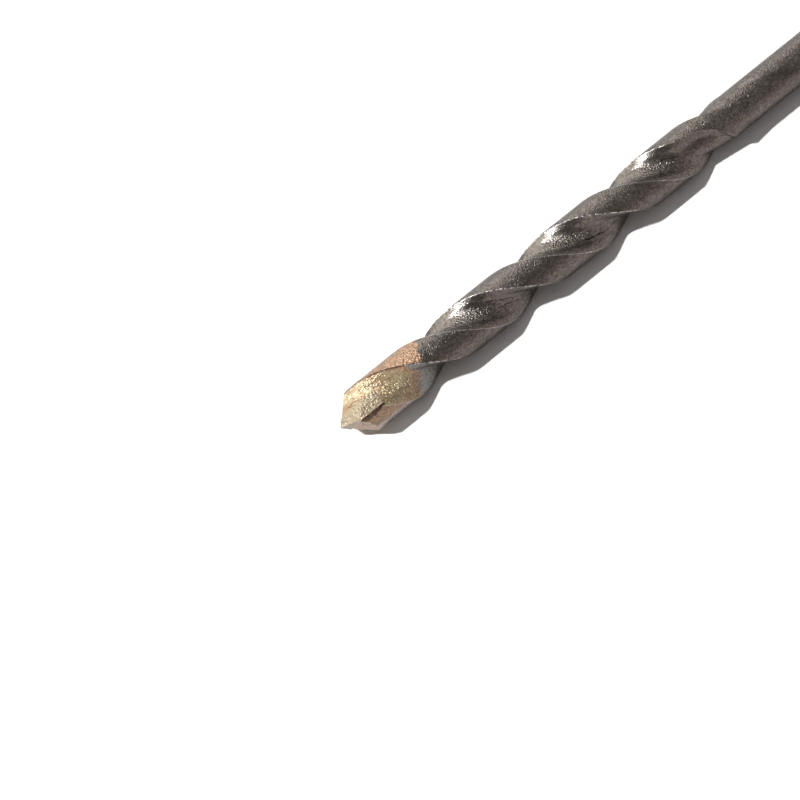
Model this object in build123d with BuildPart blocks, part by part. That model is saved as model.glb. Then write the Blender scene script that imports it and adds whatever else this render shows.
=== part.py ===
from build123d import *
from math import asin, cos, degrees, radians, sin, tan
import os

# Masonry drill bit for an 8 mm hole, lying on its side.
# The point is at -X and the shank at +X, the axis is level, and Z = 0 is the surface that it lies on.

# Steel body
overall_length = 120.0
fluted_length = 79.5
body_diameter = 7.6
shank_diameter = 6.5
shank_chamfer = 0.6

# Two right-hand flutes, given by their cross section at the point
helix_pitch = 37.5
land_angle = 88.0
trailing_edge_angle = 42.4
wall_foot_radius = 2.96
wall_foot_angle = 9.0
flute_floor_radius = 1.82
flute_floor_angle = 43.0
leading_edge_chamfer = 0.25

# Run-out, where the lands taper and the flute floors rise to the shank
land_taper_length = 5.0
run_out_length = 14.0
run_out_cover = 0.15

# Carbide tip plate, which stands out beyond the lands, and the filler metal that holds it
tip_overhang = 0.2
tip_thickness = 2.2
tip_height = 6.5
tip_base_chamfer = 0.3
braze_gap = 0.1

# Ground point: the angle between the cutting edges, how far they lean across the plate,
# how steeply the facets fall away on both sides of them, and how much deeper the steel is ground
point_angle = 130.0
edge_lean = 14.5
facet_slope = 45.0
steel_setback = 0.2

body_radius = body_diameter / 2
shank_radius = shank_diameter / 2
tip_radius = body_radius + tip_overhang

# The bit rolls until one corner of the tip touches the surface beside the lands
corner_half_angle = degrees(asin(tip_thickness / 2 / tip_radius))
corner_touch_angle = degrees(asin(body_radius / tip_radius))
tip_lean = 180 - corner_touch_angle + corner_half_angle

# Cross sections: the first direction runs along the width of the tip plate, the second one across it
point_plane = Plane(
    origin=(-overall_length / 2, 0, body_radius),
    x_dir=(0, cos(radians(tip_lean)), sin(radians(tip_lean))),
    z_dir=(1, 0, 0),
)
bit_axis = Axis(point_plane.origin, point_plane.z_dir)
# Half of a lengthwise section: the first direction runs along the bit, the second one outwards
lengthwise_plane = Plane(
    origin=point_plane.origin,
    x_dir=point_plane.z_dir,
    z_dir=point_plane.z_dir.cross(point_plane.x_dir),
)


def polar(radius, angle):
    """A point of a cross section, from its distance and its angle about the axis."""
    return (radius * cos(radians(angle)), radius * sin(radians(angle)))


def facet_plane(rise_along, rise_across, setback):
    """A plane at the point that falls back by these rises along and across the tip plate."""
    normal = (
        point_plane.z_dir
        - point_plane.x_dir * rise_along
        - point_plane.y_dir * rise_across
    )
    return Plane(origin=point_plane.origin + point_plane.z_dir * setback, z_dir=normal)


def grind_point(setback):
    """Grind the facets in front of and behind both cutting edges on the part in hand."""
    edge_rise = tan(radians(90 - point_angle / 2))
    across = tan(radians(facet_slope))
    lean_rise = across * tan(radians(edge_lean))
    for sense in (1, -1):
        clearance = facet_plane(sense * (edge_rise - lean_rise), sense * across, setback)
        split(bisect_by=clearance, keep=Keep.TOP)
        rake = facet_plane(sense * (edge_rise + lean_rise), -sense * across, setback)
        split(bisect_by=rake, keep=Keep.TOP)


# Cross section of the fluted length: two lands and two hollow flutes
with BuildSketch(point_plane) as fluted_section:
    with BuildLine():
        for turn in (0, 180):
            land_end = trailing_edge_angle + turn
            next_land_start = land_end + 180 - land_angle
            land = CenterArc((0, 0), body_radius, land_end - land_angle, land_angle)
            wall = Line(land @ 1, polar(wall_foot_radius, land_end + wall_foot_angle))
            ThreePointArc(
                wall @ 1,
                polar(flute_floor_radius, land_end + flute_floor_angle),
                polar(body_radius, next_land_start),
            )
    make_face()
    leading_corners = [
        fluted_section.vertices().sort_by_distance(
            polar(body_radius, trailing_edge_angle - land_angle + turn)
        )[0]
        for turn in (0, 180)
    ]
    chamfer(leading_corners, leading_edge_chamfer)

# The section turns to the right as it runs from the point to the shank
twisted_lands = Solid.extrude_linear_with_rotation(
    fluted_section.sketch.face(),
    center=point_plane.origin,
    normal=point_plane.z_dir * fluted_length,
    angle=360 * fluted_length / helix_pitch,
)

# Steel blank before its slot is sawn: lands, run-out, shank and ground point
with BuildPart() as steel_blank:
    add(twisted_lands)
    with BuildSketch(lengthwise_plane):
        with BuildLine():
            Polyline(
                (fluted_length - land_taper_length, body_radius),
                (fluted_length, shank_radius),
                (overall_length, shank_radius),
                (overall_length, body_diameter),
                (fluted_length - land_taper_length, body_diameter),
                close=True,
            )
        make_face()
    revolve(axis=bit_axis, mode=Mode.SUBTRACT)
    with BuildSketch(lengthwise_plane):
        with BuildLine():
            run_out_start = fluted_length - run_out_length
            run_out = Spline(
                (run_out_start, flute_floor_radius - run_out_cover),
                (fluted_length, shank_radius),
                tangents=((1, 0), (1, 0)),
            )
            Polyline(
                run_out @ 1,
                (overall_length - shank_chamfer, shank_radius),
                (overall_length, shank_radius - shank_chamfer),
                (overall_length, 0),
                (run_out_start, 0),
                run_out @ 0,
            )
        make_face()
    revolve(axis=bit_axis)
    grind_point(steel_setback)

# Slot across the point, as wide as the tip plate and a braze layer on each side of it
with BuildPart() as tip_slot:
    with BuildSketch(point_plane):
        Rectangle(2 * tip_radius, tip_thickness + 2 * braze_gap)
    extrude(amount=tip_height + braze_gap)

with BuildPart() as body:
    add(steel_blank.part)
    add(tip_slot.part, mode=Mode.SUBTRACT)
body.part.label = "body"

# Sintered carbide tip plate, ground round at both ends and chamfered at its foot
with BuildPart() as carbide_tip:
    with BuildSketch(point_plane):
        Rectangle(2 * tip_radius, tip_thickness)
        Circle(tip_radius, mode=Mode.INTERSECT)
    extrude(amount=tip_height)
    foot = carbide_tip.faces().sort_by(Axis.X)[-1]
    chamfer(foot.edges(), tip_base_chamfer)
    grind_point(0)
carbide_tip.part.label = "carbide_tip"

# Filler metal between the tip plate and the walls and floor of its slot
with BuildPart() as braze_layer:
    add(steel_blank.part)
    add(tip_slot.part, mode=Mode.INTERSECT)
    add(carbide_tip.part, mode=Mode.SUBTRACT)
braze_layer.part.label = "braze_layer"

os.makedirs("parts", exist_ok=True)
export_step(body.part, "parts/body.step")
export_step(carbide_tip.part, "parts/carbide_tip.step")
export_step(braze_layer.part, "parts/braze_layer.step")
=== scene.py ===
import math

import bmesh
import bpy
import numpy as np
from mathutils import Matrix, Vector


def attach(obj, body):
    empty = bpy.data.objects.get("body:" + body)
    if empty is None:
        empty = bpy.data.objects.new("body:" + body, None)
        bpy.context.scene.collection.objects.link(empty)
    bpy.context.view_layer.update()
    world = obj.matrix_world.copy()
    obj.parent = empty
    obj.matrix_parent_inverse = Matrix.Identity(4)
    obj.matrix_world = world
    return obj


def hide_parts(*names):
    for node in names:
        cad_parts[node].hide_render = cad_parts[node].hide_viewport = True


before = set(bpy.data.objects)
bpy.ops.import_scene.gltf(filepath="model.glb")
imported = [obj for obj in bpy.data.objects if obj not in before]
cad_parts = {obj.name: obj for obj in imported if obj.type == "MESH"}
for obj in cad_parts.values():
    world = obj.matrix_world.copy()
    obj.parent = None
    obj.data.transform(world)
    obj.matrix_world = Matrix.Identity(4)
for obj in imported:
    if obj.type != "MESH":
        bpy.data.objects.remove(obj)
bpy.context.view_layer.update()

# Steel body
# One hardened steel bar. Two right-hand flutes are milled into it and run out before the plain
# round shank. It is shot blasted, so it is dark and glitters softly, and its worn edges carry
# painted highlights.

# Sizes in millimetres and degrees, the same as those of the solid that it stands for
OVERALL_LENGTH = 120.0
FLUTED_LENGTH = 79.5
BODY_RADIUS = 3.8
SHANK_RADIUS = 3.25
SHANK_CHAMFER = 0.6
HELIX_PITCH = 37.5
RUN_OUT_LENGTH = 14.0
RUN_OUT_COVER = 0.15
TAPER_LENGTH = 5.0
POINT_X = -OVERALL_LENGTH / 2

# The flutes' section. The wall's foot and the floor are each given by their radius and their angle
# past the trailing edge
LAND_ANGLE = 88.0
TRAILING_EDGE_ANGLE = 42.4
WALL_FOOT = (2.96, 9.0)
FLUTE_FLOOR = (1.82, 43.0)

# The bit lies on a land and on one corner of the tip plate, which sets how far the plate leans
TIP_RADIUS = 4.0
TIP_THICKNESS = 2.2
CORNER_HALF_ANGLE = math.degrees(math.asin(TIP_THICKNESS / 2 / TIP_RADIUS))
TIP_LEAN = 180 - math.degrees(math.asin(BODY_RADIUS / TIP_RADIUS)) + CORNER_HALF_ANGLE

# Wear: the trailing edge is rounded and nicked. The leading edge is worn down in a slope, wider
# than the solid's bevel: its reach into the flute, how far it bends out to the corner that it took
# off, and the angle past the trailing edge where it ends on the land
TRAILING_ROUNDING = 0.1
NICK_DEPTH = 0.03
SLOPE_REACH = 0.9
SLOPE_BEND = 0.45
SLOPE_END = 180 - LAND_ANGLE + 11.0

# How finely the section is drawn
FLOOR_STEPS = 26
LAND_STEPS = 24


def polar(radius, angle):
    """A point of a cross section, from its distance and its angle about the axis."""
    turn = math.radians(angle)
    return np.array([radius * math.cos(turn), radius * math.sin(turn)])


def arc_through(start, middle, end, steps):
    """Points from the start to the end of the arc through three points, the end left out."""
    centre = np.linalg.solve(
        2 * np.array([middle - start, end - start]),
        np.array([middle @ middle - start @ start, end @ end - start @ start]),
    )
    radius = np.linalg.norm(start - centre)
    first, past, last = (math.atan2(*(p - centre)[::-1]) for p in (start, middle, end))
    turn = (last - first) % math.tau
    if (past - first) % math.tau > turn:
        turn -= math.tau
    angles = [first + turn * step / steps for step in range(steps)]
    return [centre + radius * np.array([math.cos(a), math.sin(a)]) for a in angles]


def bend(start, knee, end, shares):
    """Points, at these shares, of the curve from the start to the end that bends round the knee."""
    return [start * (1 - k) ** 2 + knee * 2 * k * (1 - k) + end * k**2 for k in shares]


def half_section():
    """Half of the section in millimetres: the worn trailing edge, the flute and the next land.

    The points that round the edge off on its land come apart, because they end the other half.
    """
    edge = polar(BODY_RADIUS, 0)
    foot = polar(*WALL_FOOT)
    lead = polar(BODY_RADIUS, 180 - LAND_ANGLE)
    before_edge = polar(BODY_RADIUS, -4)
    start = edge + (before_edge - edge) * TRAILING_ROUNDING / np.linalg.norm(before_edge - edge)
    end = edge + (foot - edge) * TRAILING_ROUNDING / np.linalg.norm(foot - edge)
    trailing = bend(start, edge, end, (0, 0.25, 0.5, 0.75, 1))
    wall = [edge + (foot - edge) * share for share in (0.3, 0.5, 0.7, 0.85)]
    floor = arc_through(foot, polar(*FLUTE_FLOOR), lead, FLOOR_STEPS)
    floor = [p for p in floor if np.linalg.norm(p - lead) > SLOPE_REACH]
    land_angles = [SLOPE_END + (180 - SLOPE_END) * step / LAND_STEPS for step in range(LAND_STEPS)]
    land = [polar(BODY_RADIUS, angle) for angle in land_angles]
    knee = lead * SLOPE_BEND + (floor[-1] + land[0]) / 2 * (1 - SLOPE_BEND)
    slope = bend(floor[-1], knee, land[0], (0.2, 0.4, 0.6, 0.8, 0.96))
    return trailing[2:] + wall + floor + slope + land[:-1], trailing[:2]


# The section as a closed ring of two like halves
section, tail = half_section()
half = section + [-p for p in tail]
ring = half + [-p for p in half]
ring_mesh = bpy.data.meshes.new("flute_section")
ring_mesh.from_pydata(
    [(*p / 1000, 0) for p in ring], [(i, (i + 1) % len(ring)) for i in range(len(ring))], []
)
# Each point carries its angle and radius, how far it lies past a trailing edge and from the nearer
# one, how far it lies from the end of the worn slope, and whether it is in a flute
ring_angle = np.degrees(np.unwrap([math.atan2(p[1], p[0]) for p in ring]))
behind_edge = ring_angle % 180.0
edge_gap = np.minimum(behind_edge, 180 - behind_edge)
# Where the trailing edge is cut back at the run-out, the points within this angle go along with it
FOLLOW_ANGLE = 62
side = np.where(behind_edge < 90, behind_edge - WALL_FOOT[1], 180 - behind_edge)
follow = np.clip(1 - np.maximum(side, 0) / FOLLOW_ANGLE, 0, 1)
for name, values in (
    ("ring_angle", ring_angle),
    ("ring_radius", [np.linalg.norm(p) / 1000 for p in ring]),
    ("edge_gap", edge_gap),
    ("lead_gap", np.abs(behind_edge - SLOPE_END)),
    ("in_flute", (behind_edge < SLOPE_END - 0.5).astype(float)),
    ("behind_edge", behind_edge),
    ("follow", follow * follow * (3 - 2 * follow)),
):
    layer = ring_mesh.attributes.new(name, "FLOAT", "POINT")
    layer.data.foreach_set("value", np.array(values, dtype=np.float32))
steel_body = bpy.data.objects.new("steel_body", ring_mesh)
bpy.context.scene.collection.objects.link(steel_body)


def add_node(tree, kind, settings=None, **links):
    """Adds a node with its properties and input values, and links its inputs, i0 for the first."""
    node = tree.nodes.new(kind)
    for name, value in (settings or {}).items():
        if isinstance(name, str) and name in node.bl_rna.properties:
            setattr(node, name, value)
        else:
            node.inputs[name].default_value = value
    for name, source in links.items():
        key = int(name[1:]) if name[0] == "i" and name[1:].isdigit() else name.replace("_", " ")
        tree.links.new(source, node.inputs[key])
    return node


def linear(hex_colour):
    """An sRGB hex colour as the linear colour that a shader needs."""
    channels = [int(hex_colour[i : i + 2], 16) / 255 for i in (1, 3, 5)]
    channels = [c / 12.92 if c <= 0.04045 else ((c + 0.055) / 1.055) ** 2.4 for c in channels]
    return (*channels, 1.0)


def new_material(name):
    """A material whose tree is empty, and the tree."""
    material = bpy.data.materials.new(name)
    material.use_nodes = True
    material.node_tree.nodes.clear()
    return material, material.node_tree


# Shot-blasted steel: pitted by the shot, grey-brown from hardening, with a satin gloss. Near the
# point a thin film of brass and flux has run over it and ends in a ragged line.
blasted_steel, blasted_tree = new_material("shot_blasted_steel")
# Ground steel: fine parallel scratches, a little pink beside the dark film that is smeared over it
ground_steel, ground_tree = new_material("freshly_ground_steel")

# The rule that makes the bar: the section is swept along the axis, turned by the pitch, and held
# between the turned outside and the floor that rises at the run-out
milling = bpy.data.node_groups.new("flute_milling", "GeometryNodeTree")
milling.interface.new_socket("Geometry", in_out="INPUT", socket_type="NodeSocketGeometry")
mill_input = {}
for name, size in (
    ("Point X", POINT_X / 1000),
    ("Axis Height", BODY_RADIUS / 1000),
    ("Length", OVERALL_LENGTH / 1000),
    ("Fluted Length", FLUTED_LENGTH / 1000),
    ("Pitch", HELIX_PITCH / 1000),
    ("Start Angle", TIP_LEAN + TRAILING_EDGE_ANGLE),
    ("Land Radius", BODY_RADIUS / 1000),
    ("Shank Radius", SHANK_RADIUS / 1000),
    ("Floor Radius", (FLUTE_FLOOR[0] - RUN_OUT_COVER) / 1000),
    ("Run-out Start", (FLUTED_LENGTH - RUN_OUT_LENGTH) / 1000),
    ("Taper Start", (FLUTED_LENGTH - TAPER_LENGTH) / 1000),
    ("Chamfer", SHANK_CHAMFER / 1000),
    ("Nick Depth", NICK_DEPTH / 1000),
    ("Nick Seed", 7.0),
    ("Rows", 601),
):
    kind = "NodeSocketInt" if isinstance(size, int) else "NodeSocketFloat"
    socket = milling.interface.new_socket(name, in_out="INPUT", socket_type=kind)
    mill_input[socket.identifier] = size
milling.interface.new_socket("Geometry", in_out="OUTPUT", socket_type="NodeSocketGeometry")
size = add_node(milling, "NodeGroupInput").outputs
back = add_node(
    milling, "ShaderNodeMath", {"operation": "ADD"}, i0=size["Point X"], i1=size["Length"]
)
start = add_node(milling, "ShaderNodeCombineXYZ", X=size["Point X"], Z=size["Axis Height"])
end = add_node(milling, "ShaderNodeCombineXYZ", X=back.outputs[0], Z=size["Axis Height"])
spine = add_node(
    milling, "GeometryNodeCurvePrimitiveLine", Start=start.outputs[0], End=end.outputs[0]
)
rows = add_node(
    milling, "GeometryNodeResampleCurve", {"mode": "COUNT"}, Curve=spine.outputs[0],
    Count=size["Rows"],
)
profile = add_node(milling, "GeometryNodeMeshToCurve", Mesh=size["Geometry"])
swept = add_node(
    milling, "GeometryNodeCurveToMesh", {"Fill Caps": True}, Curve=rows.outputs[0],
    Profile_Curve=profile.outputs[0],
)
ring_value = {
    name: add_node(
        milling, "GeometryNodeInputNamedAttribute", {"data_type": "FLOAT", "Name": name}
    ).outputs[0]
    for name in ("ring_angle", "ring_radius", "edge_gap", "follow")
}
position = add_node(milling, "GeometryNodeInputPosition")
place = add_node(milling, "ShaderNodeSeparateXYZ", Vector=position.outputs[0])
along = add_node(
    milling, "ShaderNodeMath", {"operation": "SUBTRACT"}, i0=place.outputs["X"], i1=size["Point X"]
)

# Turned outside: the lands taper to the shank, and the shank's end has a small chamfer
taper = add_node(
    milling, "ShaderNodeMapRange", Value=along.outputs[0], From_Min=size["Taper Start"],
    From_Max=size["Fluted Length"], To_Min=size["Land Radius"], To_Max=size["Shank Radius"],
)
chamfer_start = add_node(
    milling, "ShaderNodeMath", {"operation": "SUBTRACT"}, i0=size["Length"], i1=size["Chamfer"]
)
chamfer = add_node(
    milling, "ShaderNodeMapRange", {"To Min": 0.0}, Value=along.outputs[0],
    From_Min=chamfer_start.outputs[0], From_Max=size["Length"], To_Max=size["Chamfer"],
)
outside = add_node(
    milling, "ShaderNodeMath", {"operation": "SUBTRACT"}, i0=taper.outputs[0], i1=chamfer.outputs[0]
)

# Floor of the run-out, where the cutter leaves the bar and the floor blends ever more softly into
# the wall, by this many millimetres in the end
FLOOR_BLEND = 1.6
floor = add_node(
    milling, "ShaderNodeMapRange", {"interpolation_type": "SMOOTHSTEP"}, Value=along.outputs[0],
    From_Min=size["Run-out Start"], From_Max=size["Fluted Length"], To_Min=size["Floor Radius"],
    To_Max=size["Shank Radius"],
)
blending = add_node(
    milling, "ShaderNodeMapRange", {"To Max": FLOOR_BLEND / 1000}, Value=along.outputs[0],
    From_Min=size["Run-out Start"], From_Max=size["Fluted Length"],
)
above_floor = add_node(
    milling, "ShaderNodeMath", {"operation": "SMOOTH_MAX"}, i0=ring_value["ring_radius"],
    i1=floor.outputs[0], i2=blending.outputs[0],
)
radius = add_node(
    milling, "ShaderNodeMath", {"operation": "MINIMUM"}, i0=above_floor.outputs[0],
    i1=outside.outputs[0],
)

# The cutter bites back into the trailing edge as it leaves, by up to 27 degrees, and then comes
# back: the share of the run-out, and the share of the bite there
BITE_ANGLE = 32.0
BITE_SHARES = (
    (0.15, 0.12), (0.3, 0.48), (0.42, 0.82), (0.56, 0.85), (0.68, 0.52), (0.78, 0.15), (0.86, 0.0),
)
run_out_share = add_node(
    milling, "ShaderNodeMapRange", Value=along.outputs[0], From_Min=size["Run-out Start"],
    From_Max=size["Fluted Length"],
)
bite = add_node(milling, "ShaderNodeFloatCurve", Value=run_out_share.outputs[0])
curve = bite.mapping.curves[0]
for share, height in BITE_SHARES:
    curve.points.new(share, height)
curve.points[0].location = (0.0, 0.0)
curve.points[-1].location = (1.0, 0.0)
bite.mapping.update()
bitten = add_node(
    milling, "ShaderNodeMath", {"operation": "MULTIPLY", 1: BITE_ANGLE}, i0=bite.outputs[0]
)
bitten = add_node(
    milling, "ShaderNodeMath", {"operation": "MULTIPLY"}, i0=bitten.outputs[0],
    i1=ring_value["follow"],
)

# The twist
turns = add_node(
    milling, "ShaderNodeMath", {"operation": "DIVIDE"}, i0=along.outputs[0], i1=size["Pitch"]
)
twist = add_node(
    milling, "ShaderNodeMath", {"operation": "MULTIPLY", 1: 360.0}, i0=turns.outputs[0]
)
angle = add_node(
    milling, "ShaderNodeMath", {"operation": "ADD"}, i0=ring_value["ring_angle"],
    i1=twist.outputs[0],
)
angle = add_node(
    milling, "ShaderNodeMath", {"operation": "ADD"}, i0=angle.outputs[0], i1=size["Start Angle"]
)
angle = add_node(
    milling, "ShaderNodeMath", {"operation": "SUBTRACT"}, i0=angle.outputs[0], i1=bitten.outputs[0]
)
angle = add_node(milling, "ShaderNodeMath", {"operation": "RADIANS"}, i0=angle.outputs[0])

# Small nicks, about 0.6 mm long, wear the trailing edge
near_edge = add_node(
    milling, "ShaderNodeMapRange", {"From Min": 1.2, "From Max": 3.5, "To Min": 1.0, "To Max": 0.0},
    Value=ring_value["edge_gap"],
)
nick_place = add_node(
    milling, "ShaderNodeMath", {"operation": "ADD"}, i0=along.outputs[0], i1=size["Nick Seed"]
)
nicks = add_node(
    milling, "ShaderNodeTexNoise", {"noise_dimensions": "1D", "Scale": 1600.0, "Detail": 2.0},
    W=nick_place.outputs[0],
)
nick = add_node(
    milling, "ShaderNodeMath", {"operation": "MULTIPLY"}, i0=near_edge.outputs[0],
    i1=nicks.outputs[0],
)
nick = add_node(
    milling, "ShaderNodeMath", {"operation": "MULTIPLY"}, i0=nick.outputs[0], i1=size["Nick Depth"]
)
radius = add_node(
    milling, "ShaderNodeMath", {"operation": "SUBTRACT"}, i0=radius.outputs[0], i1=nick.outputs[0]
)

# Each point goes to its radius and angle about the axis
cosine = add_node(milling, "ShaderNodeMath", {"operation": "COSINE"}, i0=angle.outputs[0])
sine = add_node(milling, "ShaderNodeMath", {"operation": "SINE"}, i0=angle.outputs[0])
across = add_node(
    milling, "ShaderNodeMath", {"operation": "MULTIPLY"}, i0=radius.outputs[0], i1=cosine.outputs[0]
)
rise = add_node(
    milling, "ShaderNodeMath", {"operation": "MULTIPLY_ADD"}, i0=radius.outputs[0],
    i1=sine.outputs[0], i2=size["Axis Height"],
)
turned = add_node(
    milling, "ShaderNodeCombineXYZ", X=place.outputs["X"], Y=across.outputs[0], Z=rise.outputs[0]
)
milled = add_node(
    milling, "GeometryNodeSetPosition", Geometry=swept.outputs[0], Position=turned.outputs[0]
)
whole = add_node(milling, "GeometryNodeRealizeInstances", Geometry=milled.outputs[0])
finished = add_node(
    milling, "GeometryNodeSetMaterial", {"Material": blasted_steel}, Geometry=whole.outputs[0]
)
add_node(milling, "NodeGroupOutput", Geometry=finished.outputs[0])


def apply_modifier(thing):
    """Turns the evaluated object into a plain mesh and takes its modifier off."""
    bpy.context.view_layer.update()
    evaluated = thing.evaluated_get(bpy.context.evaluated_depsgraph_get())
    mesh = bpy.data.meshes.new_from_object(evaluated)
    mesh.name = thing.name
    thing.modifiers.clear()
    thing.data = mesh
    return mesh


mill = steel_body.modifiers.new("mill", "NODES")
mill.node_group = milling
for identifier, value in mill_input.items():
    mill[identifier] = value
steel_mesh = apply_modifier(steel_body)

# The point is ground: four planes take the end off, and their facets are closed flat. The angle
# between the cutting edges, how far they lean across the plate, how steeply the facets fall away
# on both sides of them, and how much deeper the steel is ground than the plate
POINT_ANGLE = 130.0
EDGE_LEAN = 14.5
FACET_SLOPE = 45.0
STEEL_SETBACK = 0.2


def facet_normal(rise_along, rise_across):
    """Outward normal of a plane that falls back by these rises along and across the plate."""
    lean = math.radians(TIP_LEAN)
    along = Vector((0, math.cos(lean), math.sin(lean)))
    across = Vector((0, -math.sin(lean), math.cos(lean)))
    return (along * rise_along + across * rise_across - Vector((1, 0, 0))).normalized()


def facet_normals():
    """The normals of the two facets behind the cutting edges, and of the two in front of them."""
    edge = math.tan(math.radians(90 - POINT_ANGLE / 2))
    across = math.tan(math.radians(FACET_SLOPE))
    lean = across * math.tan(math.radians(EDGE_LEAN))
    behind = [facet_normal(sense * (edge - lean), sense * across) for sense in (1, -1)]
    front = [facet_normal(sense * (edge + lean), -sense * across) for sense in (1, -1)]
    return behind, front


# The facets behind the cutting edges are ground last, through the film
steel_mesh.materials.append(ground_steel)
bare_facets, filmed_facets = facet_normals()
steel_shape = bmesh.new()
steel_shape.from_mesh(steel_mesh)
apex = Vector(((POINT_X + STEEL_SETBACK) / 1000, 0, BODY_RADIUS / 1000))
for normal in bare_facets + filmed_facets:
    everything = steel_shape.verts[:] + steel_shape.edges[:] + steel_shape.faces[:]
    cut = bmesh.ops.bisect_plane(
        steel_shape, geom=everything, dist=1e-8, plane_co=apex, plane_no=normal, clear_outer=True
    )
    rim = [e for e in cut["geom_cut"] if isinstance(e, bmesh.types.BMEdge) and e.is_boundary]
    for facet in bmesh.ops.edgenet_fill(steel_shape, edges=rim)["faces"]:
        facet.material_index = 1 if normal in bare_facets else 0
bmesh.ops.recalc_face_normals(steel_shape, faces=steel_shape.faces)
steel_shape.to_mesh(steel_mesh)
steel_shape.free()


def plate_cutter(name, outline, low, high, filling):
    """A cutter that leans as the plate does, from low to high along the plate's width.

    Its outline is given in millimetres back from the point and through the plate.
    """
    shape = bmesh.new()
    rings = [
        [shape.verts.new(Vector((back, width, through)) / 1000) for back, through in outline]
        for width in (low, high)
    ]
    shape.faces.new(rings[0])
    shape.faces.new(rings[1][::-1])
    for i in range(len(outline)):
        after = (i + 1) % len(outline)
        shape.faces.new((rings[0][after], rings[0][i], rings[1][i], rings[1][after]))
    lean = Matrix.Rotation(math.radians(TIP_LEAN), 4, "X")
    shape.transform(Matrix.Translation((POINT_X / 1000, 0, BODY_RADIUS / 1000)) @ lean)
    bmesh.ops.recalc_face_normals(shape, faces=shape.faces)
    mesh = bpy.data.meshes.new(name)
    shape.to_mesh(mesh)
    shape.free()
    mesh.materials.append(filling)
    cutter = bpy.data.objects.new(name, mesh)
    bpy.context.scene.collection.objects.link(cutter)
    return cutter


# Burnt flux: a brown crust with crumbs of 0.4 mm, made dark as painted shade for the gap that it
# lines
flux_and_gap_shade, tree = new_material("flux_and_gap_shade")
place = add_node(tree, "ShaderNodeTexCoord").outputs["Object"]
crumbs = add_node(tree, "ShaderNodeTexNoise", {"Scale": 2500.0, "Detail": 3.0}, Vector=place)
shade = add_node(tree, "ShaderNodeValToRGB", Fac=crumbs.outputs["Fac"])
shade.color_ramp.elements[0].position = 0.35
shade.color_ramp.elements[0].color = linear("#604838")
shade.color_ramp.elements[1].position = 0.7
shade.color_ramp.elements[1].color = linear("#A38363")
lumps = add_node(
    tree, "ShaderNodeBump", {"Strength": 0.8, "Distance": 0.00005}, Height=crumbs.outputs["Fac"]
)
flux = add_node(
    tree, "ShaderNodeBsdfPrincipled", {"Roughness": 0.75}, Base_Color=shade.outputs[0],
    Normal=lumps.outputs[0],
)
add_node(tree, "ShaderNodeOutputMaterial", Surface=flux.outputs[0])

# The slot for the plate is sawn right across, with a little room for the filler metal. Beside the
# plate a wedge-shaped gap was left in the land's surface, with flux in it that is coloured dark as
# painted shade
TIP_HEIGHT = 6.5
BRAZE_GAP = 0.1
SAW_REACH = 1.2 * TIP_RADIUS
GAP_DEPTH = 3.1
half_slot = TIP_THICKNESS / 2 + BRAZE_GAP
slot_end = TIP_HEIGHT + BRAZE_GAP
slot_outline = ((-2, -half_slot), (slot_end, -half_slot), (slot_end, half_slot), (-2, half_slot))
gap_outline = ((1.9, 1.0), (slot_end, 1.0), (slot_end, 1.4), (3.8, 2.1), (2.1, 2.15))
for cutter in (
    plate_cutter("slot_saw", slot_outline, -SAW_REACH, SAW_REACH, blasted_steel),
    plate_cutter("side_gap", gap_outline, GAP_DEPTH, SAW_REACH, flux_and_gap_shade),
):
    cut = steel_body.modifiers.new("cut", "BOOLEAN")
    cut.operation = "DIFFERENCE"
    cut.solver = "EXACT"
    cut.material_mode = "TRANSFER"
    cut.object = cutter
    steel_mesh = apply_modifier(steel_body)
    bpy.data.objects.remove(cutter)
for polygon in steel_mesh.polygons:
    polygon.use_smooth = True
steel_mesh.set_sharp_from_angle(angle=math.radians(30))

# The blasted steel's patterns. Noise repeats about once in 1 / Scale metres: patches of 2.4 mm,
# shot marks and lumps of 0.4 mm, and bays of 1.3 mm in the film's end
tree = blasted_tree
place = add_node(tree, "ShaderNodeTexCoord").outputs["Object"]
blotch = add_node(
    tree, "ShaderNodeTexNoise", {"Scale": 420.0, "Detail": 4.0, "Roughness": 0.65}, Vector=place
)
grit = add_node(
    tree, "ShaderNodeTexNoise", {"Scale": 2400.0, "Detail": 1.5, "Roughness": 0.5}, Vector=place
)
ragged = add_node(
    tree, "ShaderNodeTexNoise", {"Scale": 800.0, "Detail": 5.0, "Roughness": 0.7}, Vector=place
)
mark = {
    name: add_node(tree, "ShaderNodeAttribute", {"attribute_name": name}).outputs["Fac"]
    for name in ("edge_gap", "lead_gap", "in_flute", "behind_edge")
}
spot = add_node(tree, "ShaderNodeSeparateXYZ", Vector=place)

# The film ends on a plane that slants across the bar, and in bays. Lengths are in millimetres here
FILM_SLANT = (1.0, -0.492, -0.377)
FILM_END = POINT_X + 13.17
FILM_BLUR = 0.12
BAY_DEPTH = 1.6
slant = add_node(
    tree, "ShaderNodeVectorMath",
    {"operation": "DOT_PRODUCT", 1: tuple(1000 * part for part in FILM_SLANT)}, i0=place,
)
torn = add_node(
    tree, "ShaderNodeMapRange", {"To Min": -BAY_DEPTH, "To Max": BAY_DEPTH},
    Value=ragged.outputs["Fac"],
)
slanted = add_node(
    tree, "ShaderNodeMath", {"operation": "ADD"}, i0=slant.outputs["Value"], i1=torn.outputs[0]
)
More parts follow.
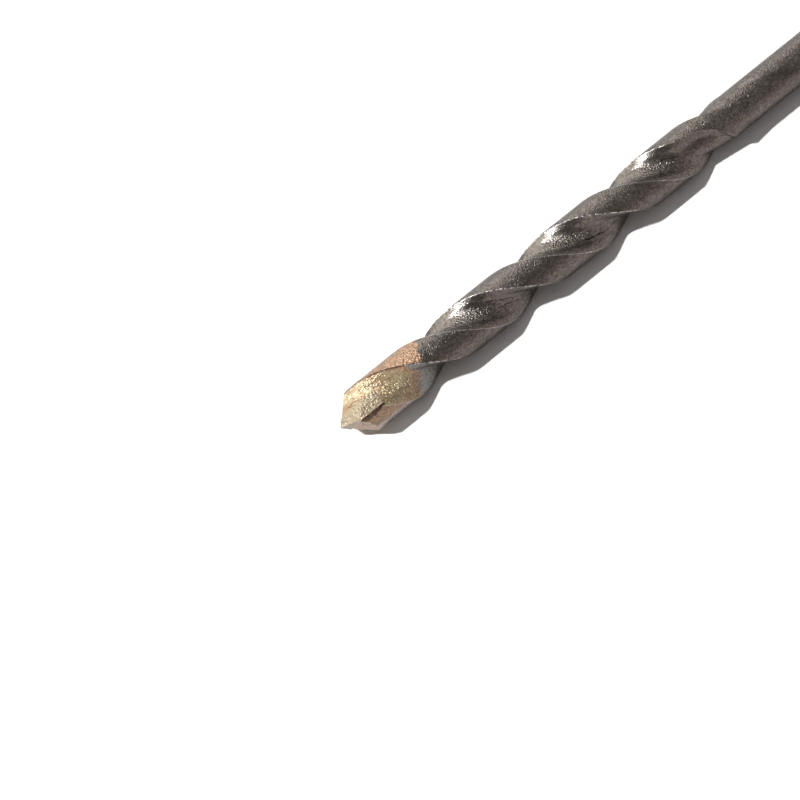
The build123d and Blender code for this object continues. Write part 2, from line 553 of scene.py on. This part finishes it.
# It stops up to 3.2 mm sooner on the flute's steep wall
wall_gap = add_node(
    tree, "ShaderNodeMapRange", {"From Max": 20.0, "To Min": 3.2, "To Max": 0.0},
    Value=mark["edge_gap"],
)
wall_stop = add_node(
    tree, "ShaderNodeMath", {"operation": "MULTIPLY"}, i0=wall_gap.outputs[0], i1=mark["in_flute"]
)
slanted = add_node(
    tree, "ShaderNodeMath", {"operation": "ADD"}, i0=slanted.outputs[0], i1=wall_stop.outputs[0]
)
film = add_node(
    tree, "ShaderNodeMapRange",
    {"From Min": FILM_END - FILM_BLUR, "From Max": FILM_END + FILM_BLUR, "To Min": 1.0,
     "To Max": 0.0},
    Value=slanted.outputs[0],
)
# Low on the lands it is rubbed off: the direction that the height is measured in, square to the
# bar, the axis's own height, and how far below it the film was rubbed
HEIGHT_DIRECTION = (0.0, 0.794, 0.608)
AXIS_HEIGHT = 2.31
RUBBED_BELOW = (3.2, 3.0)
height = add_node(
    tree, "ShaderNodeVectorMath",
    {"operation": "DOT_PRODUCT", 1: tuple(1000 * part for part in HEIGHT_DIRECTION)}, i0=place,
)
rub_and_highlight = add_node(
    tree, "ShaderNodeMath", {"operation": "MULTIPLY_ADD", 1: 0.25}, i0=torn.outputs[0],
    i2=height.outputs["Value"],
)
kept = add_node(
    tree, "ShaderNodeMapRange",
    {"From Min": AXIS_HEIGHT - RUBBED_BELOW[0], "From Max": AXIS_HEIGHT - RUBBED_BELOW[1]},
    Value=rub_and_highlight.outputs[0],
)
kept = add_node(
    tree, "ShaderNodeMath", {"operation": "MAXIMUM"}, i0=kept.outputs[0], i1=mark["in_flute"]
)
rubbed_off_reflection = add_node(tree, "ShaderNodeMath", {"operation": "SUBTRACT", 0: 1.0}, i1=kept.outputs[0])
rubbed_off_reflection = add_node(
    tree, "ShaderNodeMath", {"operation": "MULTIPLY"}, i0=film.outputs[0], i1=rubbed_off_reflection.outputs[0]
)
film = add_node(
    tree, "ShaderNodeMath", {"operation": "MULTIPLY"}, i0=film.outputs[0], i1=kept.outputs[0]
)

# Bare steel: grey-brown in mottles of 0.5 mm, and paler low on the lands where the film was rubbed
# off: a painted reflection of the floor
mottle = add_node(
    tree, "ShaderNodeTexNoise", {"Scale": 1900.0, "Detail": 3.0, "Roughness": 0.7}, Vector=place
)
mottle = add_node(
    tree, "ShaderNodeMath", {"operation": "MULTIPLY_ADD", 1: 0.35}, i0=blotch.outputs["Fac"],
    i2=mottle.outputs["Fac"],
)
mottle = add_node(
    tree, "ShaderNodeMapRange", {"From Min": 0.48, "From Max": 0.88}, Value=mottle.outputs[0]
)
bare = add_node(
    tree, "ShaderNodeMix", {"data_type": "RGBA", 6: linear("#504946"), 7: linear("#736A66")},
    i0=mottle.outputs[0],
)
# Painted reflection of the floor, where the film was rubbed off low on the lands
bare = add_node(
    tree, "ShaderNodeMix", {"data_type": "RGBA", 7: linear("#A59A94")}, i0=rubbed_off_reflection.outputs[0],
    i6=bare.outputs[2],
)
# Specks of brass stick to the highest bumps
brassy = add_node(
    tree, "ShaderNodeMapRange", {"From Min": 0.5, "From Max": 0.68, "To Max": 0.3},
    Value=grit.outputs["Fac"],
)
bare = add_node(
    tree, "ShaderNodeMix", {"data_type": "RGBA", 7: linear("#85785F")}, i0=brassy.outputs[0],
    i6=bare.outputs[2],
)
# Just past the film the flute is painted a lighter, colder grey: a painted reflection of the floor
past_film_reflection = add_node(
    tree, "ShaderNodeMapRange",
    {"From Min": FILM_END + 1.0, "From Max": FILM_END + 6.0, "To Min": 0.6, "To Max": 0.0},
    Value=slanted.outputs[0],
)
past_film_reflection = add_node(
    tree, "ShaderNodeMath", {"operation": "MULTIPLY"}, i0=past_film_reflection.outputs[0], i1=mark["in_flute"]
)
bare = add_node(
    tree, "ShaderNodeMix", {"data_type": "RGBA", 7: linear("#868481")}, i0=past_film_reflection.outputs[0],
    i6=bare.outputs[2],
)

# Film: brass in the flutes, and copper in patches, on the lands and along the film's end
copper_patch = add_node(
    tree, "ShaderNodeMapRange", {"From Min": 0.44, "From Max": 0.6, "To Max": 0.75},
    Value=blotch.outputs["Fac"],
)
copper_land = add_node(
    tree, "ShaderNodeMath", {"operation": "SUBTRACT", 0: 0.9}, i1=mark["in_flute"]
)
copper_end = add_node(
    tree, "ShaderNodeMapRange", {"From Min": FILM_END - 3.0, "From Max": FILM_END - 0.6},
    Value=slanted.outputs[0],
)
copper = add_node(
    tree, "ShaderNodeMath", {"operation": "MAXIMUM"}, i0=copper_patch.outputs[0],
    i1=copper_land.outputs[0],
)
copper = add_node(
    tree, "ShaderNodeMath", {"operation": "MAXIMUM"}, i0=copper.outputs[0], i1=copper_end.outputs[0]
)
gilt = add_node(
    tree, "ShaderNodeMix", {"data_type": "RGBA", 6: linear("#BFAB88"), 7: linear("#A68068")},
    i0=copper.outputs[0],
)
# Soot and flux stain it in patches of 1.5 mm, and it is darker low down
stain_and_lower_darkening = add_node(
    tree, "ShaderNodeTexNoise", {"Scale": 650.0, "Detail": 4.0, "Roughness": 0.7}, Vector=place
)
stain_and_lower_darkening = add_node(
    tree, "ShaderNodeMapRange", {"From Min": 0.48, "From Max": 0.72, "To Max": 0.75},
    Value=stain_and_lower_darkening.outputs["Fac"],
)
lower_darkening = add_node(
    tree, "ShaderNodeMapRange", {"From Min": 3.6, "From Max": 1.2, "To Max": 0.45},
    Value=height.outputs["Value"],
)
stain_and_lower_darkening = add_node(
    tree, "ShaderNodeMath", {"operation": "ADD", "use_clamp": True}, i0=stain_and_lower_darkening.outputs[0],
    i1=lower_darkening.outputs[0],
)
gilt = add_node(
    tree, "ShaderNodeMix", {"data_type": "RGBA", 7: linear("#857660")}, i0=stain_and_lower_darkening.outputs[0],
    i6=gilt.outputs[2],
)
colour = add_node(
    tree, "ShaderNodeMix", {"data_type": "RGBA"}, i0=film.outputs[0], i6=bare.outputs[2],
    i7=gilt.outputs[2],
)

# The film is darker in a narrow band along the trailing edge
edge_darkening = add_node(
    tree, "ShaderNodeMapRange", {"From Min": 1.0, "From Max": 2.6, "To Min": 0.9, "To Max": 0.0},
    Value=mark["edge_gap"],
)
edge_darkening = add_node(
    tree, "ShaderNodeMath", {"operation": "MULTIPLY"}, i0=edge_darkening.outputs[0], i1=film.outputs[0]
)
colour = add_node(
    tree, "ShaderNodeMix", {"data_type": "RGBA", 7: linear("#5C443A")}, i0=edge_darkening.outputs[0],
    i6=colour.outputs[2],
)
# Painted highlights on the edges, past the film: bright beads are painted along the nicked trailing
# edge as glints, and a thin pale line is painted along the leading edge as a highlight. Both fade
# out with the flutes, from 1 to 14 mm past the middle of the bit
beads = add_node(
    tree, "ShaderNodeMapRange", {"From Min": 0.45, "From Max": 0.62}, Value=grit.outputs["Fac"]
)
edge_highlight = add_node(
    tree, "ShaderNodeMapRange", {"From Min": 0.7, "From Max": 1.8, "To Min": 1.0, "To Max": 0.0},
    Value=mark["edge_gap"],
)
edge_highlight = add_node(
    tree, "ShaderNodeMath", {"operation": "MULTIPLY"}, i0=edge_highlight.outputs[0], i1=beads.outputs[0]
)
unfilmed = add_node(tree, "ShaderNodeMath", {"operation": "SUBTRACT", 0: 1.0}, i1=film.outputs[0])
edge_highlight = add_node(
    tree, "ShaderNodeMath", {"operation": "MULTIPLY"}, i0=edge_highlight.outputs[0], i1=unfilmed.outputs[0]
)
# Painted highlight along the leading edge
pale = add_node(
    tree, "ShaderNodeMapRange", {"From Min": 0.6, "From Max": 1.4, "To Min": 0.38, "To Max": 0.0},
    Value=mark["lead_gap"],
)
edge_highlight = add_node(
    tree, "ShaderNodeMath", {"operation": "MAXIMUM"}, i0=edge_highlight.outputs[0], i1=pale.outputs[0]
)
fluted = add_node(
    tree, "ShaderNodeMapRange",
    {"From Min": 0.001, "From Max": 0.014, "To Min": 1.0, "To Max": 0.0},
    Value=spot.outputs["X"],
)
edge_highlight = add_node(
    tree, "ShaderNodeMath", {"operation": "MULTIPLY"}, i0=edge_highlight.outputs[0], i1=fluted.outputs[0]
)
# Painted highlight: the edges take a pale grey here
colour = add_node(
    tree, "ShaderNodeMix", {"data_type": "RGBA", 7: linear("#C9C2BC")}, i0=edge_highlight.outputs[0],
    i6=colour.outputs[2],
)

# Forging seams: dark cracks that wander along the flute. Each starts and ends at a distance from
# the point in millimetres and an angle past the trailing edge
SEAMS = (
    (28.9, 15.5, 34.7, 38.5), (31.5, 52.0, 36.5, 73.0), (46.9, 76.0, 51.9, 69.5),
    (64.5, 25.0, 67.5, 31.0),
)
SEAM_ANGLE = 1.8
SEAM_WANDER = 9.0
wander = add_node(tree, "ShaderNodeTexNoise", {"Scale": 1300.0, "Detail": 3.0}, Vector=place)
wander = add_node(
    tree, "ShaderNodeMapRange", {"To Min": -SEAM_WANDER, "To Max": SEAM_WANDER},
    Value=wander.outputs["Fac"],
)
wandering = add_node(
    tree, "ShaderNodeMath", {"operation": "ADD"}, i0=mark["behind_edge"], i1=wander.outputs[0]
)
seams = None
for seam_start, first_angle, seam_end, last_angle in SEAMS:
    line = add_node(
        tree, "ShaderNodeMapRange",
        {"clamp": False, "From Min": (POINT_X + seam_start) / 1000,
         "From Max": (POINT_X + seam_end) / 1000, "To Min": first_angle, "To Max": last_angle},
        Value=spot.outputs["X"],
    )
    on_line = add_node(
        tree, "ShaderNodeMath", {"operation": "COMPARE", 2: SEAM_ANGLE}, i0=wandering.outputs[0],
        i1=line.outputs[0],
    )
    within = add_node(
        tree, "ShaderNodeMath",
        {"operation": "COMPARE", 1: (POINT_X + (seam_start + seam_end) / 2) / 1000,
         2: (seam_end - seam_start) / 2000},
        i0=spot.outputs["X"],
    )
    seam = add_node(
        tree, "ShaderNodeMath", {"operation": "MULTIPLY"}, i0=on_line.outputs[0],
        i1=within.outputs[0],
    )
    if seams:
        seam = add_node(
            tree, "ShaderNodeMath", {"operation": "MAXIMUM"}, i0=seam.outputs[0],
            i1=seams.outputs[0],
        )
    seams = seam
colour = add_node(
    tree, "ShaderNodeMix", {"data_type": "RGBA", 7: linear("#2A2624")}, i0=seams.outputs[0],
    i6=colour.outputs[2],
)
# Specks of scale and bare metal, 0.3 mm across
specks = add_node(
    tree, "ShaderNodeTexNoise", {"Scale": 3600.0, "Detail": 2.0, "Roughness": 0.6}, Vector=place
)
specks = add_node(
    tree, "ShaderNodeMapRange",
    {"From Min": 0.35, "From Max": 0.65, "To Min": 0.72, "To Max": 1.22},
    Value=specks.outputs["Fac"],
)
colour = add_node(
    tree, "ShaderNodeMix", {"data_type": "RGBA", "blend_type": "MULTIPLY", 0: 1.0},
    i6=colour.outputs[2], i7=specks.outputs[0],
)

# Relief: coarse bumps on the floor of the flutes, about 50 degrees past the trailing edge, and
# lumps in the film. The shot's fine pits are drawn 0.24 mm across, twice as coarse as the real
# ones, so that they show, and they are shallow by the trailing edge
off_floor = add_node(
    tree, "ShaderNodeMath", {"operation": "SUBTRACT", 1: 50.0}, i0=mark["behind_edge"]
)
off_floor = add_node(tree, "ShaderNodeMath", {"operation": "ABSOLUTE"}, i0=off_floor.outputs[0])
floor_bumps = add_node(
    tree, "ShaderNodeMapRange", {"From Min": 10.0, "From Max": 26.0, "To Min": 0.85, "To Max": 0.0},
    Value=off_floor.outputs[0],
)
floor_bumps = add_node(
    tree, "ShaderNodeMath", {"operation": "MULTIPLY"}, i0=floor_bumps.outputs[0],
    i1=fluted.outputs[0],
)
bumps = add_node(tree, "ShaderNodeMath", {"operation": "ADD", 1: 0.1}, i0=floor_bumps.outputs[0])
bumps = add_node(
    tree, "ShaderNodeMath", {"operation": "MULTIPLY_ADD", 1: 0.7}, i0=film.outputs[0],
    i2=bumps.outputs[0],
)
lumps = add_node(
    tree, "ShaderNodeBump", {"Distance": 0.0003}, Strength=bumps.outputs[0],
    Height=grit.outputs["Fac"],
)
pits = add_node(
    tree, "ShaderNodeTexNoise", {"Scale": 4200.0, "Detail": 1.5, "Roughness": 0.5}, Vector=place
)
pit_depth = add_node(
    tree, "ShaderNodeMapRange",
    {"From Min": 12.0, "From Max": 32.0, "To Min": 0.25, "To Max": 0.75},
    Value=mark["behind_edge"],
)
relief = add_node(
    tree, "ShaderNodeBump", {"Distance": 0.00016}, Strength=pit_depth.outputs[0],
    Height=pits.outputs["Fac"], Normal=lumps.outputs[0],
)
gloss = add_node(
    tree, "ShaderNodeMapRange", {"To Min": 0.26, "To Max": 0.35}, Value=blotch.outputs["Fac"]
)
gloss = add_node(
    tree, "ShaderNodeMath", {"operation": "MULTIPLY_ADD", 1: 0.08}, i0=film.outputs[0],
    i2=gloss.outputs[0],
)
metal = add_node(tree, "ShaderNodeMapRange", {"To Min": 1.0, "To Max": 0.6}, Value=film.outputs[0])
steel = add_node(
    tree, "ShaderNodeBsdfPrincipled", Metallic=metal.outputs[0], Base_Color=colour.outputs[2],
    Roughness=gloss.outputs[0], Normal=relief.outputs["Normal"],
)
add_node(tree, "ShaderNodeOutputMaterial", Surface=steel.outputs["BSDF"])

# Ground steel: scratches 0.05 mm apart, drawn 0.15 mm apart so that they show, and stretched
# across the bar, with film smeared over them in patches of 0.7 mm
tree = ground_tree
place = add_node(tree, "ShaderNodeTexCoord").outputs["Object"]
stretched = add_node(tree, "ShaderNodeMapping", {"Scale": (1.0, 0.15, 0.15)}, Vector=place)
scratches = add_node(
    tree, "ShaderNodeTexNoise", {"Scale": 7000.0, "Detail": 2.0}, Vector=stretched.outputs[0]
)
shade = add_node(
    tree, "ShaderNodeMix", {"data_type": "RGBA", 6: linear("#93806F"), 7: linear("#B09C90")},
    i0=scratches.outputs["Fac"],
)
smear = add_node(
    tree, "ShaderNodeTexNoise", {"Scale": 1500.0, "Detail": 4.0, "Roughness": 0.7}, Vector=place
)
smear = add_node(
    tree, "ShaderNodeMapRange", {"From Min": 0.45, "From Max": 0.62, "To Max": 0.7},
    Value=smear.outputs["Fac"],
)
shade = add_node(
    tree, "ShaderNodeMix", {"data_type": "RGBA", 7: linear("#75614F")}, i0=smear.outputs[0],
    i6=shade.outputs[2],
)
grooves = add_node(
    tree, "ShaderNodeBump", {"Strength": 0.5, "Distance": 0.00002}, Height=scratches.outputs["Fac"]
)
ground = add_node(
    tree, "ShaderNodeBsdfPrincipled", {"Metallic": 1.0, "Roughness": 0.42},
    Base_Color=shade.outputs[2], Normal=grooves.outputs["Normal"],
)
add_node(tree, "ShaderNodeOutputMaterial", Surface=ground.outputs["BSDF"])

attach(steel_body, "root")
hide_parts("body")

# Carbide tip
# A plate of sintered tungsten carbide, pressed to shape, brazed into the slot and ground with the
# steel. The film of brass and flux covers it too, apart from the two facets that were ground last.

# Sintered carbide: hard, fine-grained and grey where it is ground, under lumps of film of 0.4 mm
sintered_carbide, tree = new_material("sintered_carbide")
place = add_node(tree, "ShaderNodeTexCoord").outputs["Object"]
grit = add_node(
    tree, "ShaderNodeTexNoise", {"Scale": 2600.0, "Detail": 2.0, "Roughness": 0.55}, Vector=place
)
blotch = add_node(
    tree, "ShaderNodeTexNoise", {"Scale": 500.0, "Detail": 4.0, "Roughness": 0.65}, Vector=place
)
# Depth behind each of the two bare facets in millimetres: 0 on the facet itself
depths = []
for normal in bare_facets:
    facing = add_node(
        tree, "ShaderNodeVectorMath", {"operation": "DOT_PRODUCT", 1: tuple(-1000 * normal)},
        i0=place,
    )
    offset = 1000 * normal.dot(Vector((POINT_X, 0, BODY_RADIUS)) / 1000)
    depth = add_node(
        tree, "ShaderNodeMath", {"operation": "ADD", 1: offset}, i0=facing.outputs["Value"]
    )
    depths.append(depth.outputs[0])
depth = add_node(tree, "ShaderNodeMath", {"operation": "MINIMUM"}, i0=depths[0], i1=depths[1])
bright = add_node(
    tree, "ShaderNodeMapRange", {"From Min": 0.01, "From Max": 0.03, "To Min": 1.0, "To Max": 0.0},
    Value=depth.outputs[0],
)
gilt = add_node(
    tree, "ShaderNodeMix", {"data_type": "RGBA", 6: linear("#C1B091"), 7: linear("#AC9881")},
    i0=blotch.outputs["Fac"],
)
colour = add_node(
    tree, "ShaderNodeMix", {"data_type": "RGBA", 7: linear("#968C85")}, i0=bright.outputs[0],
    i6=gilt.outputs[2],
)
# Painted highlights: the plate's long edge beside the gap and its foot are painted pale through the
# film
lean = math.radians(TIP_LEAN)
through = add_node(
    tree, "ShaderNodeVectorMath",
    {"operation": "DOT_PRODUCT", 1: (0.0, -1000 * math.sin(lean), 1000 * math.cos(lean))}, i0=place,
)
through = add_node(
    tree, "ShaderNodeMath", {"operation": "SUBTRACT", 1: BODY_RADIUS * math.cos(lean)},
    i0=through.outputs["Value"],
)
plate_edge_highlight = add_node(
    tree, "ShaderNodeMapRange",
    {"From Min": TIP_THICKNESS / 2 - 0.13, "From Max": TIP_THICKNESS / 2 - 0.05, "To Max": 0.9},
    Value=through.outputs[0],
)
spot = add_node(tree, "ShaderNodeSeparateXYZ", Vector=place)
plate_foot_highlight = add_node(
    tree, "ShaderNodeMapRange",
    {"From Min": (POINT_X + TIP_HEIGHT - 0.36) / 1000,
     "From Max": (POINT_X + TIP_HEIGHT - 0.28) / 1000, "To Max": 0.5},
    Value=spot.outputs["X"],
)
# Painted highlight mask, kept off the ground facets
rub_and_highlight = add_node(
    tree, "ShaderNodeMath", {"operation": "MAXIMUM"}, i0=plate_edge_highlight.outputs[0],
    i1=plate_foot_highlight.outputs[0],
)
unground = add_node(
    tree, "ShaderNodeMath", {"operation": "SUBTRACT", 0: 1.0, "use_clamp": True},
    i1=bright.outputs[0],
)
rub_and_highlight = add_node(
    tree, "ShaderNodeMath", {"operation": "MULTIPLY"}, i0=rub_and_highlight.outputs[0], i1=unground.outputs[0]
)
# The painted highlights' pale colour
colour = add_node(
    tree, "ShaderNodeMix", {"data_type": "RGBA", 7: linear("#E6DBCC")}, i0=rub_and_highlight.outputs[0],
    i6=colour.outputs[2],
)
specks = add_node(
    tree, "ShaderNodeTexNoise", {"Scale": 3600.0, "Detail": 2.0, "Roughness": 0.6}, Vector=place
)
specks = add_node(
    tree, "ShaderNodeMapRange",
    {"From Min": 0.35, "From Max": 0.65, "To Min": 0.65, "To Max": 1.15},
    Value=specks.outputs["Fac"],
)
colour = add_node(
    tree, "ShaderNodeMix", {"data_type": "RGBA", "blend_type": "MULTIPLY", 0: 1.0},
    i6=colour.outputs[2], i7=specks.outputs[0],
)
relief = add_node(
    tree, "ShaderNodeMapRange", {"To Min": 1.0, "To Max": 0.08}, Value=bright.outputs[0]
)
lumps = add_node(
    tree, "ShaderNodeBump", {"Distance": 0.0004}, Strength=relief.outputs[0],
    Height=grit.outputs["Fac"],
)
carbide = add_node(
    tree, "ShaderNodeBsdfPrincipled", {"Metallic": 0.6, "Roughness": 0.36},
    Base_Color=colour.outputs[2], Normal=lumps.outputs["Normal"],
)
add_node(tree, "ShaderNodeOutputMaterial", Surface=carbide.outputs["BSDF"])
carbide_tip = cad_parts["carbide_tip"]
carbide_tip.data.materials.clear()
carbide_tip.data.materials.append(sintered_carbide)

# Braze layer
# Brass filler that was melted into the slot round the plate. It shows as a thin, uneven line
# along it.

# Brazing brass: dull yellow, set in beads of 0.5 mm
brazing_brass, tree = new_material("brazing_brass")
place = add_node(tree, "ShaderNodeTexCoord").outputs["Object"]
beads = add_node(tree, "ShaderNodeTexNoise", {"Scale": 2200.0, "Detail": 3.0}, Vector=place)
shade = add_node(
    tree, "ShaderNodeMix", {"data_type": "RGBA", 6: linear("#A0865F"), 7: linear("#CBB48A")},
    i0=beads.outputs["Fac"],
)
lumps = add_node(
    tree, "ShaderNodeBump", {"Strength": 0.7, "Distance": 0.00005}, Height=beads.outputs["Fac"]
)
brass = add_node(
    tree, "ShaderNodeBsdfPrincipled", {"Metallic": 0.6, "Roughness": 0.45},
    Base_Color=shade.outputs[2], Normal=lumps.outputs["Normal"],
)
add_node(tree, "ShaderNodeOutputMaterial", Surface=brass.outputs["BSDF"])
braze_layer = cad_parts["braze_layer"]
braze_layer.data.materials.clear()
braze_layer.data.materials.append(brazing_brass)

# Table and light
# A white table that runs out of the picture, and a small lamp above it that draws the shadow. Only
# the metal mirrors a window near the point's end, and pale walls behind the bit and past its shank.
bpy.ops.mesh.primitive_plane_add(size=4.0, location=(0, 0, 0))
table = bpy.context.object
table.name = "table"
# White card: matt all over
white_card, tree = new_material("white_card")
card = add_node(tree, "ShaderNodeBsdfDiffuse", {"Color": linear("#F4F4F4")})
add_node(tree, "ShaderNodeOutputMaterial", Surface=card.outputs[0])
table.data.materials.append(white_card)

studio = bpy.data.worlds.new("studio")
bpy.context.scene.world = studio
studio.use_nodes = True
room = studio.node_tree.nodes["Background"]
room.inputs["Color"].default_value = (1, 0.955, 0.935, 1)
room.inputs["Strength"].default_value = 0.28


def hang_lamp(name, direction, distance, wide, high, power):
    """Hangs an area lamp in a direction from the bit, in metres and watts, facing it."""
    lamp = bpy.data.objects.new(name, bpy.data.lights.new(name, "AREA"))
    lamp.data.shape = "RECTANGLE"
    lamp.data.size = wide
    lamp.data.size_y = high
    lamp.data.energy = power
    lamp.location = Vector(direction).normalized() * distance
    lamp.rotation_euler = (-lamp.location).to_track_quat("-Z", "Y").to_euler()
    bpy.context.scene.collection.objects.link(lamp)
    return lamp


key_lamp = hang_lamp("key_lamp", (-0.86, 0.22, 1.0), 1.5, 0.06, 0.06, 29.0)
key_lamp.visible_glossy = False
window = hang_lamp("window", (-0.46, -0.12, 0.87), 0.8, 0.1, 0.1, 7.5)
window.data.color = (0.88, 0.96, 1.0)
pale_wall = hang_lamp("pale_wall", (-0.1, 0.75, 0.7), 0.8, 1.3, 0.9, 10.0)
pale_wall.data.color = (0.94, 1.0, 0.98)
far_wall = hang_lamp("far_wall", (0.95, -0.15, 0.25), 0.8, 0.9, 0.5, 1.8)
for mirrored_only in (window, pale_wall, far_wall):
    mirrored_only.visible_diffuse = False

# Camera
# It looks down on the drill bit from the side, a little from the point's end, with the axis rising
# to the right.

# How far it looks from the point's end, how far the wide side of the plate is turned from it, and
# how steeply the axis rises in the picture, in degrees
AXIS_TILT = 18.0
PLATE_TURN = 86.7
PICTURE_ANGLE = 38.9
# The picture's size, the place of the point in it with a small correction along and across the bit,
# the focal length in pixels and the scale at the point
PICTURE_SIZE = 800
PICTURE_POINT = (345, 425)
SHIFT_BACK, SHIFT_ACROSS = 5.5, 0.16
FOCAL_PIXELS = 4059.0
PIXELS_PER_MM = 6.876
SENSOR_WIDTH = 36.0
near_turn = math.radians(TIP_LEAN + 90 - PLATE_TURN)
near = Vector((0, math.cos(near_turn), math.sin(near_turn)))
axis = Vector((1, 0, 0))
upper = near.cross(axis)
tilt = math.radians(AXIS_TILT)
towards = near * math.cos(tilt) - axis * math.sin(tilt)
along_picture = axis * math.cos(tilt) + near * math.sin(tilt)
angle = math.radians(PICTURE_ANGLE)
right = along_picture * math.cos(angle) - upper * math.sin(angle)
down = -along_picture * math.sin(angle) - upper * math.cos(angle)
shift_right = -SHIFT_BACK * math.cos(angle) - SHIFT_ACROSS * math.sin(angle)
shift_down = SHIFT_BACK * math.sin(angle) - SHIFT_ACROSS * math.cos(angle)
point_right = (PICTURE_POINT[0] + shift_right - PICTURE_SIZE / 2) / PIXELS_PER_MM
point_down = (PICTURE_POINT[1] + shift_down - PICTURE_SIZE / 2) / PIXELS_PER_MM
point = Vector((POINT_X, 0, BODY_RADIUS))
eye = point + towards * (FOCAL_PIXELS / PIXELS_PER_MM) - right * point_right - down * point_down
camera = bpy.data.objects.new("camera", bpy.data.cameras.new("camera"))
camera.data.sensor_width = SENSOR_WIDTH
camera.data.lens = SENSOR_WIDTH * FOCAL_PIXELS / PICTURE_SIZE
camera.data.clip_start = 0.01
camera.data.clip_end = 10.0
bpy.context.scene.collection.objects.link(camera)
facing = Matrix((right, -down, towards)).transposed().to_4x4()
camera.matrix_world = Matrix.Translation(eye / 1000) @ facing
bpy.context.scene.camera = camera
bpy.context.scene.view_settings.view_transform = "Standard"
